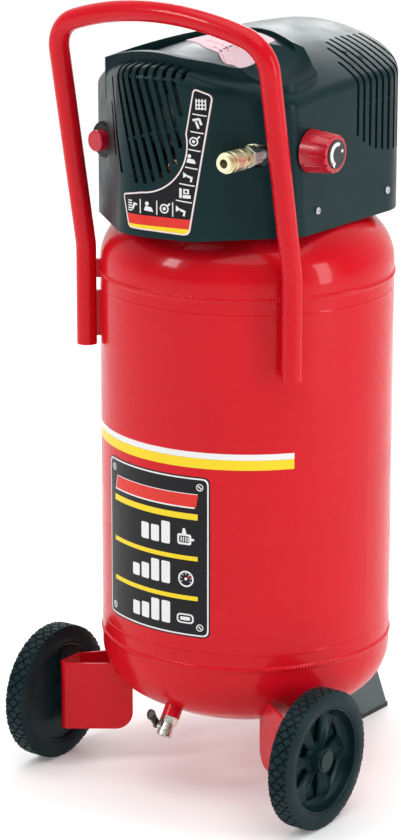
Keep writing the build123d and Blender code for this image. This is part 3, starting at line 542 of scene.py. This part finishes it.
def level_blocks(u, v, heights):
    """A plain row of blocks, from the right to the left."""
    shapes = []
    for i, tall in enumerate(heights):
        x = u - 15.5 * i
        shapes.append(mark(rect(x - 12, v - 12, x, v - 12 + tall, 2.2)))
    return shapes


def plate_outline(margin, radius):
    return rect(PLATE_LEFT + margin, PLATE_LOW + margin, PLATE_RIGHT - margin, PLATE_HIGH - margin, radius)


def tank_plate():
    """Black plate with a border, drawn screws, a red title panel and three rows."""
    shapes = [mark(plate_outline(0, PLATE_RADIUS), colour="black", height=PLATE_FILM)]
    shapes.append(mark(plate_outline(1.6, PLATE_RADIUS - 1), plate_outline(3.4, PLATE_RADIUS - 2)))
    for u in (PLATE_LEFT + SCREW_INSET, PLATE_RIGHT - SCREW_INSET):
        for v in (PLATE_LOW + SCREW_INSET, PLATE_HIGH - SCREW_INSET):
            shapes += corner_screw(u, v, SCREW_TURN)
    left, right = PLATE_LEFT + 14, PLATE_RIGHT - 15
    for v, thick in RULES:
        rule = rect(left, v - thick / 2, right, v + thick / 2)
        shapes.append(mark(rule, colour="yellow", height=PLATE_RULE))
    title = [(left + 1, TITLE_LOW), (right - 4, TITLE_LOW), (right, TITLE_HIGH), (left + 6, TITLE_HIGH)]
    panel = [(u + 1.8, v + 1.8) if v == TITLE_LOW else (u + 0.6, v - 0.8) for u, v in title]
    shapes.append(mark(title, height=PLATE_TITLE))
    shapes.append(mark(panel, colour="red", height=PLATE_MARK + 0.01))
    shapes += motor_symbol(right - 17, POWER_ROW)
    shapes += gauge_symbol(right - 15, PRESSURE_ROW)
    shapes += vessel_symbol(right - 16, VOLUME_ROW)
    shapes += level_blocks(right - 36, POWER_ROW + 3, (27, 20, 20))
    shapes += level_blocks(right - 36, PRESSURE_ROW + 3, (27, 27, 19, 15))
    shapes += level_blocks(right - 36, VOLUME_ROW + 3, (27, 27, 19, 17))
    artwork("tank_plate", "frame", shapes, on_tank, 6)


tank_plate()


# label on the hood's front: a leaning column at the right and a row at the foot

COLUMN_FOOT = (51.2, 698.6)
COLUMN_TOP = (79, 861)
YELLOW_TOP = 706.2
RED_TOP = 717.5
ROW_LOW, ROW_HIGH = 719.5, 736
SYMBOL_ROW = 727.5
COLUMN_RULES = ((838, 15.5), (818, 14.5), (797.5, 13.5), (777, 14), (757.5, 18), (738, 19))
COLUMN_SYMBOLS = (850, 828, 807.5, 787, 767, 747.5)
ROW_RULES = (-9.5, 11.5, 31.5)
ROW_SYMBOLS = ((6, -20.5), (3, 1.0), (2, 21.5), (4, 41.5))


def label_outline():
    """L-shaped outline with a concave arc between the column and the row."""
    points = rounded([(-25, 701), COLUMN_FOOT, COLUMN_TOP, (56.5, 868.5), (51.5, 830)], 7)[7:28]
    points += arc(-10, 803, 58.5, 12, -88, 26)
    points += rounded([(-8, 742.6), (-36.5, 739.5), (-27, 701), (20, 699)], 5)[7:21]
    return points


def column_right(v):
    """Right edge of the label's column at a height."""
    (u0, v0), (u1, v1) = COLUMN_FOOT, COLUMN_TOP
    return u0 + (v - v0) * (u1 - u0) / (v1 - v0)


def symbol(kind, u, v, s):
    """Small generic picture about 2 s wide: each entry is an outline and its holes."""
    def at(x, y):
        return u + x * s, v + y * s

    def box(x0, y0, x1, y1):
        return rect(*at(x0, y0), *at(x1, y1))

    def line(x0, y0, x1, y1, width):
        return bar(*at(x0, y0), *at(x1, y1), width * s)

    def spot(x, y, radius, steps):
        return disc(*at(x, y), radius * s, steps)

    if kind == 0:
        shapes = [[box(-1 + 0.55 * i, -1, -1 + 0.55 * i + 0.22, 1)] for i in range(4)]
        shapes += [[box(-1, -0.9 + 0.7 * j, 0.9, -0.68 + 0.7 * j)] for j in range(3)]
    elif kind == 1:
        shapes = [[line(-0.9, 0.6, 0.3, 0.9, 0.4)], [line(0.3, 0.95, 0.7, -0.2, 0.4)]]
        shapes += [[line(-0.3, 0.4, 0.2, -0.9, 0.4)]]
    elif kind == 2:
        shapes = [[spot(-0.1, 0, 0.85, 20), spot(-0.1, 0, 0.6, 20)], [spot(-0.1, 0, 0.3, 14)]]
        shapes += [[line(0.5, 0.5, 1, 1, 0.3)]]
    elif kind == 3:
        shapes = [[rounded([at(-0.9, -0.6), at(0.9, -0.8), at(0.6, 0), at(-0.6, 0.2)], 0.2 * s)]]
        shapes += [[spot(-0.3, 0.6, 0.35, 14)]]
    elif kind == 4:
        shapes = [[[at(-0.9, 0.8), at(-0.9, -0.3), at(0, 0.2)]]]
        shapes += [[line(-0.1, 0.1, 0.8, -0.2, 0.4)], [line(0.75, 0, 0.55, -0.95, 0.35)]]
    elif kind == 5:
        shapes = [[box(-1.1, -0.9, -0.6, 0.9)], [box(-0.4, -0.9, 1.1, -0.3)]]
        shapes += [[box(-0.3, -0.1, 0.8, 0.8), box(0, 0.12, 0.5, 0.55)]]
    else:
        shapes = [[box(-1, -1 + 0.42 * j, -0.1, -1 + 0.42 * j + 0.2)] for j in range(5)]
        shapes += [[line(0, -0.7, 0.5, 0.5, 0.4)], [line(0.4, 0.4, 1, 0.2, 0.3)]]
    return [mark(*loops, height=LABEL_MARK) for loops in shapes]


def hood_label():
    """Black label with a pale border, two strips at the foot, rules and small pictures."""
    outline = label_outline()
    inner = inset(outline, 1.8)
    red_part = clip(clip(inner, lambda v: v - YELLOW_TOP), lambda v: RED_TOP - v)
    yellow_part = clip(inner, lambda v: YELLOW_TOP - v)
    shapes = [mark(outline, colour="pink", height=LABEL_EDGE), mark(inset(outline, 0.5), height=LABEL_BORDER)]
    shapes.append(mark(inner, colour="black", height=LABEL_FILM))
    shapes.append(mark(red_part, colour="red", height=LABEL_STRIP))
    shapes.append(mark(yellow_part, colour="yellow", height=LABEL_STRIP))
    for v, reach in COLUMN_RULES:
        right = column_right(v) - 3.4
        shapes.append(mark(bar(right - reach, v + 0.9, right, v - 0.9, 1.3), height=LABEL_MARK))
    for k, v in enumerate(COLUMN_SYMBOLS):
        shapes += symbol(k, column_right(v) - 11.0 - 0.4 * k, v, 6.2)
    for u in ROW_RULES:
        shapes.append(mark(rect(u - 0.65, ROW_LOW, u + 0.65, ROW_HIGH), height=LABEL_MARK))
    for kind, u in ROW_SYMBOLS:
        shapes += symbol(kind, u, SYMBOL_ROW, 6.6)
    artwork("hood_label", "frame", shapes, on_hood_front, 3)


hood_label()


# ---------------------------------------------------------------- tyres

TREAD_BLOCKS = 34
BLOCK_COLUMNS = 24
TREAD_STEPS = 52
SHOULDER = 3.2
TREAD_DEPTH = 2.0
TREAD_HALF = 13.4
DIAMOND_W = 13.4
GROOVE = 0.85


def tread_drop(across, along, pitch):
    """Depth of the tread's grooves at a place, 0 on top of a block."""
    if abs(across) > TREAD_HALF:
        return 0.0
    wave = 0.06 * math.sin(4 * math.pi * across / DIAMOND_W)
    near = pitch
    for lean in (-1, 1):
        t = (along / pitch + lean * (across / DIAMOND_W + wave)) % 1.0
        near = min(near, min(t, 1 - t) * pitch * 0.8)
    return TREAD_DEPTH * min(1.0, max(0.0, (GROOVE + 0.4 - near) / 0.4))


def tyre(side):
    """Solid tyre with a tread of staggered diamonds; side is right or left."""
    low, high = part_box(f"{side}_tyre")
    centre, radius = (low + high) / 2, (high.z - low.z) / 2 / MM
    half = (high.x - low.x) / 2 / MM
    pitch = 2 * math.pi * radius / TREAD_BLOCKS
    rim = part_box(f"{side}_rim")
    rim_r = (rim[1].z - rim[0].z) / 2 / MM
    profile = [(-half + 1.2, rim_r), (-half + 0.4, rim_r + 2), (-half, rim_r + 4),
               (-half + 0.1, rim_r + 9), (-half + 0.6, rim_r + 12),
               (-half + 1.6, radius - 4.2), (-half + 2.6, radius - 2.2)]
    wall_points = len(profile)
    reach = half - SHOULDER
    tread = [-reach + 2 * reach * i / TREAD_STEPS for i in range(TREAD_STEPS + 1)]
    profile += [(x, radius - 0.9 * (abs(x) / half) ** 4) for x in tread]
    profile += [(-x, r) for x, r in reversed(profile[:wall_points])]
    columns = TREAD_BLOCKS * BLOCK_COLUMNS
    verts = []
    for i in range(columns):
        turn = 2 * math.pi * i / columns
        along = i / columns * TREAD_BLOCKS * pitch
        for x, r in profile:
            if abs(x) <= reach + 1e-6:
                r -= tread_drop(x, along, pitch)
            y, z = r * MM * math.cos(turn), r * MM * math.sin(turn)
            verts.append((centre.x + x * MM, centre.y + y, centre.z + z))
    faces = grid_faces(columns, len(profile))
    piece = make(f"{side}_tyre_tread", f"{side}_wheel", verts, faces,
                 [finishes["tyre_rubber"]], True)
    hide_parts(f"{side}_tyre")
    mark_sharp(piece, 38)


def mark_sharp(piece, degrees):
    """Smooth shading with sharp edges above an angle."""
    mesh = piece.data
    work = bmesh.new()
    work.from_mesh(mesh)
    bmesh.ops.recalc_face_normals(work, faces=work.faces)
    limit = math.radians(degrees)
    for edge in work.edges:
        edge.smooth = edge.calc_face_angle(0.0) < limit
    work.to_mesh(mesh)
    work.free()


for side in ("right", "left"):
    tyre(side)


# ---------------------------------------------------------------- wheel rims

SPOKES = 6
SPOKE_TURN = 27.0
RIM_COLUMNS = 144


def ring_points(profile, columns, place):
    """Points of a closed profile of (x, r) turned round the wheel's axle."""
    verts = []
    for i in range(columns):
        turn = 2 * math.pi * i / columns
        verts += [place(x, r * math.cos(turn), r * math.sin(turn)) for x, r in profile]
    return verts


def curve(points, steps):
    """A smooth open line through a few (x, r) points."""
    done = []
    for i in range(len(points) - 1):
        before, a = points[max(i - 1, 0)], points[i]
        b, after = points[i + 1], points[min(i + 2, len(points) - 1)]
        for k in range(steps):
            t = k / steps
            done.append(tuple(
                0.5 * (2 * q + (r - p) * t + (2 * p - 5 * q + 4 * r - s) * t ** 2
                       + (3 * q - p - 3 * r + s) * t ** 3)
                for p, q, r, s in zip(before, a, b, after)))
    return done + [points[-1]]


def barrel_profile(rim_r):
    """Outer lip, deep concave wall, floor ring and plain back of a rim."""
    lip = curve([(11.6, rim_r - 0.1), (13.4, rim_r - 0.5), (13.8, rim_r - 1.4), (13.2, rim_r - 2.4)], 4)
    wall = curve([(12.4, rim_r - 2.7), (8, rim_r - 3.6), (3, rim_r - 5.2), (-1.5, rim_r - 8.2),
                  (-4, rim_r - 12.4)], 6)
    back = curve([(-4.6, rim_r - 13), (-7.2, rim_r - 12.8), (-8.4, rim_r - 8), (-10.5, rim_r - 4.6),
                  (-13, rim_r - 3.4), (-13.8, rim_r - 1.8), (-13.2, rim_r - 0.3)], 4)
    return lip + wall + back


HUB_PROFILE = [(-19, 6.2), (-19, 14.6), (-18.4, 15.4), (-9, 16), (-7.4, 19), (-4.6, 20.4), (-2.6, 20),
               (0.5, 16.4), (2.4, 15.4), (11.6, 14.9), (12.7, 14.2), (13, 13.2), (13, 11.7), (6.6, 11.6),
               (6.5, 6.2)]


def web_profile(rim_r):
    """Thin closed back behind the spokes, from the hub to the barrel."""
    return [(-11.4, 15), (-9.6, 15), (-9.2, rim_r - 20), (-8.0, rim_r - 7), (-10, rim_r - 5),
            (-11, rim_r - 12)]


def spoke_half_width(t):
    """Half width along a spoke, from the hub (0) to the wall (1)."""
    return 5.6 + 12.6 * t ** 1.35


def spoke_verts(turn, rim_r, place):
    """One flared spoke with a raised ridge along its middle, closed all round."""
    across, along = 12, 14
    inner, outer = 15.5, rim_r - 9.5
    c, s = math.cos(turn), math.sin(turn)
    verts = []
    for i in range(along + 1):
        t = i / along
        r, half = inner + (outer - inner) * t, spoke_half_width(t)
        level = -0.5 - 3.2 * t
        loop = []
        for j in range(across + 1):
            u = -1 + 2 * j / across
            ridge = 3.4 * max(0.0, 1 - abs(u) / 0.55) ** 0.8 + 1.6 * (1 - u * u) - 2.2 * abs(u) ** 10
            loop.append((level + ridge, u * half))
        loop += [(-7.6, half), (-8.2, half - 1.4), (-8.2, -half + 1.4), (-7.6, -half)]
        verts += [place(x, v * c - r * s, v * s + r * c) for x, v in loop]
    return verts, along + 1, across + 5


def rim(side):
    """Moulded rim: barrel, six flared spokes, a closed back and a hub, one closed shell each."""
    low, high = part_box(f"{side}_tyre")
    centre, out = (low + high) / 2, 1 if side == "right" else -1
    cad_low, cad_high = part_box(f"{side}_rim")
    rim_r = (cad_high.z - cad_low.z) / 2 / MM

    def place(x, y, z):
        return Vector((centre.x + out * x * MM, centre.y + y * MM, centre.z + z * MM))

    verts, faces = [], []
    for profile in (barrel_profile(rim_r), HUB_PROFILE, web_profile(rim_r)):
        base = len(verts)
        verts += ring_points(profile, RIM_COLUMNS, place)
        faces += [tuple(base + i for i in face) for face in grid_faces(RIM_COLUMNS, len(profile))]
    for k in range(SPOKES):
        turn = math.radians(SPOKE_TURN + 360 / SPOKES * k)
        base = len(verts)
        points, columns, rows = spoke_verts(turn, rim_r, place)
        verts += points
        faces += [tuple(base + i for i in face) for face in grid_faces(columns, rows, False)]
        faces.append(tuple(base + i for i in reversed(range(rows))))
        faces.append(tuple(base + (columns - 1) * rows + i for i in range(rows)))
    piece = make(f"{side}_rim_moulding", f"{side}_wheel", verts, faces,
                 [finishes["wheel_plastic"]], True)
    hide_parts(f"{side}_rim")
    mark_sharp(piece, 40)


for side in ("right", "left"):
    rim(side)


# ---------------------------------------------------------------- seams

def bead(z, width, height, ripple):
    """A closed band round the tank; ripple is the size of its scallops."""
    columns, rows, scallops = 1680, 9, 280
    verts = []
    for i in range(columns):
        turn = 2 * math.pi * i / columns
        phase = i / columns * scallops
        for j in range(rows):
            u = -1 + 2 * j / (rows - 1)
            lap = math.sin(2 * math.pi * (phase + 0.22 * (1 - u * u)))
            r = tank_r + (height * (1 - u * u) * (1 + ripple * lap) - 0.02) * MM
            verts.append(Vector((tank_x + r * math.sin(turn), tank_y - r * math.cos(turn),
                                 z + (u * width / 2 + 0.12 * ripple * lap) * MM)))
        r = tank_r - 0.8 * MM
        verts.append(Vector((tank_x + r * math.sin(turn), tank_y - r * math.cos(turn), z)))
    return verts, grid_faces(columns, rows + 1)


def seams():
    """The two weld beads, and a faint lap line a little towards the tank's middle."""
    low_z, high_z = tank_low.z, tank_high.z
    verts, faces = [], []
    for z, width, height, ripple in ((low_z, 7.0, 1.3, 0.22), (high_z, 7.0, 1.3, 0.22),
                                     (low_z + 0.018, 3.2, 0.3, 0.0), (high_z - 0.018, 3.2, 0.3, 0.0)):
        base = len(verts)
        points, quads = bead(z, width, height, ripple)
        verts += points
        faces += [tuple(base + i for i in face) for face in quads]
    piece = make("tank_seams", "frame", verts, faces, [finishes["red_paint"]], True)
    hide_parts("tank_weld_beads")
    mark_sharp(piece, 50)


seams()


# ---------------------------------------------------------------- knob decal and tray sticker

cap_low, cap_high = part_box("knob_cap")


def on_cap(u, v, height):
    """Place on the knob's cap, seen from the right with the rear at the right hand."""
    middle = (cap_low + cap_high) / 2
    return Vector((cap_high.x + height * MM, middle.y + u * MM, middle.z + v * MM))


def knob_decal():
    """Plain turning arrow that grows from top to bottom, and a dot at the right."""
    outer = arc(0, 0, 13.4, 62, 232, 26)
    inner = arc(1.6, -0.6, 9.6, 228, 74, 26)
    head = [(-10.8, -8.6), (-2.2, -9.2), (-5.2, -15.2)]
    shapes = [mark(loop, height=CAP_MARK) for loop in (outer + inner, head, disc(10.6, 2.4, 2.0, 18))]
    artwork("knob_cap_decal", "pressure_knob", shapes, on_cap, 4)


knob_decal()


def tray_sticker():
    """Pale sticker on the tray with rows of loose strokes."""
    middle = tank_y / MM
    corners = [(-58, -46), (4, -92), (36, -102), (48, -34), (46, -9), (14, 2), (-40, -22)]
    outline = rounded([(u, v + middle) for u, v in corners], 5)
    shapes = [mark(outline, colour="pale", height=STICKER_FILM)]
    for row in range(5):
        u = -34 + 6 * row
        while u < 30:
            length = random.uniform(4, 11)
            v = middle - 22 - 15 * row - 0.35 * u
            if row < 4 or u > 10:
                end = v - 0.35 * length + random.uniform(-1.5, 1.5)
                stroke = bar(u, v, u + length, end, random.uniform(1.6, 3.0))
                shapes.append(mark(stroke, colour="rose", height=STICKER_STROKE))
            u += length + random.uniform(2, 4)
    artwork("tray_sticker", "frame", shapes, on_tray, 2.5)


tray_sticker()


# ---------------------------------------------------------------- stage, light and camera

def area_light(name, place, target, size, power):
    """A rectangular softbox that faces a target."""
    lamp = bpy.data.lights.new(name, "AREA")
    lamp.shape, lamp.energy = "RECTANGLE", power
    lamp.size, lamp.size_y = size
    holder = bpy.data.objects.new(name, lamp)
    holder.location = place
    holder.rotation_mode = "QUATERNION"
    holder.rotation_quaternion = (Vector(target) - Vector(place)).to_track_quat("-Z", "Y")
    scene.collection.objects.link(holder)


def sun_light(name, direction, strength, spread):
    """A very soft overhead light, even over the whole floor."""
    lamp = bpy.data.lights.new(name, "SUN")
    lamp.energy, lamp.angle = strength, math.radians(spread)
    holder = bpy.data.objects.new(name, lamp)
    holder.rotation_mode = "QUATERNION"
    holder.rotation_quaternion = Vector(direction).to_track_quat("-Z", "Y")
    scene.collection.objects.link(holder)


def studio():
    """Surroundings bright behind the machine and dim in front of it, white to the camera, and soft lights."""
    world = bpy.data.worlds.new("studio")
    world.use_nodes = True
    tree = world.node_tree
    coords, side = tree.nodes.new("ShaderNodeTexCoord"), tree.nodes.new("ShaderNodeVectorMath")
    side.operation = "DOT_PRODUCT"
    side.inputs[1].default_value = (-0.59, 0.81, 0.0)
    spread = tree.nodes.new("ShaderNodeMapRange")
    for key, number in zip(("From Min", "From Max", "To Min", "To Max"), (-0.1, 0.8, 0.24, 1.0)):
        spread.inputs[key].default_value = number
    dim, bright = tree.nodes["Background"], tree.nodes.new("ShaderNodeBackground")
    dim.inputs["Color"].default_value = (1, 1, 1, 1)
    bright.inputs["Color"].default_value = (1, 1, 1, 1)
    chooser, path = tree.nodes.new("ShaderNodeMixShader"), tree.nodes.new("ShaderNodeLightPath")
    tree.links.new(coords.outputs["Generated"], side.inputs[0])
    tree.links.new(side.outputs["Value"], spread.inputs["Value"])
    tree.links.new(spread.outputs["Result"], dim.inputs["Strength"])
    tree.links.new(path.outputs["Is Camera Ray"], chooser.inputs["Fac"])
    tree.links.new(dim.outputs["Background"], chooser.inputs[1])
    tree.links.new(bright.outputs["Background"], chooser.inputs[2])
    tree.links.new(chooser.outputs["Shader"], tree.nodes["World Output"].inputs["Surface"])
    scene.world = world
    floor_finish = Finish("floor", (0.80, 0.80, 0.80), 0.9, Emission_Color=(1, 1, 1, 1),
                          Emission_Strength=0.14)
    floor_finish.bump(floor_finish.noise(60, 3), 0.02, 0.001)
    mesh = bpy.data.meshes.new("floor")
    reach = 20.0
    corners = [(-reach, -reach, 0), (reach, -reach, 0), (reach, reach, 0), (-reach, reach, 0)]
    mesh.from_pydata(corners, [], [(0, 1, 2, 3)])
    mesh.materials.append(floor_finish.material)
    floor = bpy.data.objects.new("floor", mesh)
    scene.collection.objects.link(floor)
    sun_light("overhead", (-0.12, 0.18, -1), 2.1, 70)
    area_light("back", (-1.2, 2.7, 2.0), (0, 0, 0.9), (2.2, 1.0), 34)
    area_light("key", (-1.35, -2.4, 2.1), (0, 0, 0.5), (0.6, 0.8), 25)
    area_light("side", (2.9, 0.3, 1.2), (0, 0, 0.5), (0.6, 1.9), 34)


def camera():
    data = bpy.data.cameras.new("camera")
    data.lens = 136.9
    data.clip_start, data.clip_end = 0.1, 60
    holder = bpy.data.objects.new("camera", data)
    holder.location = (2.1389, -3.0459, 1.4742)
    holder.rotation_euler = (math.pi / 2 - 0.27396, 0, 0.6299)
    scene.collection.objects.link(holder)
    scene.camera = holder


studio()
camera()
scene.view_settings.view_transform = "Standard"
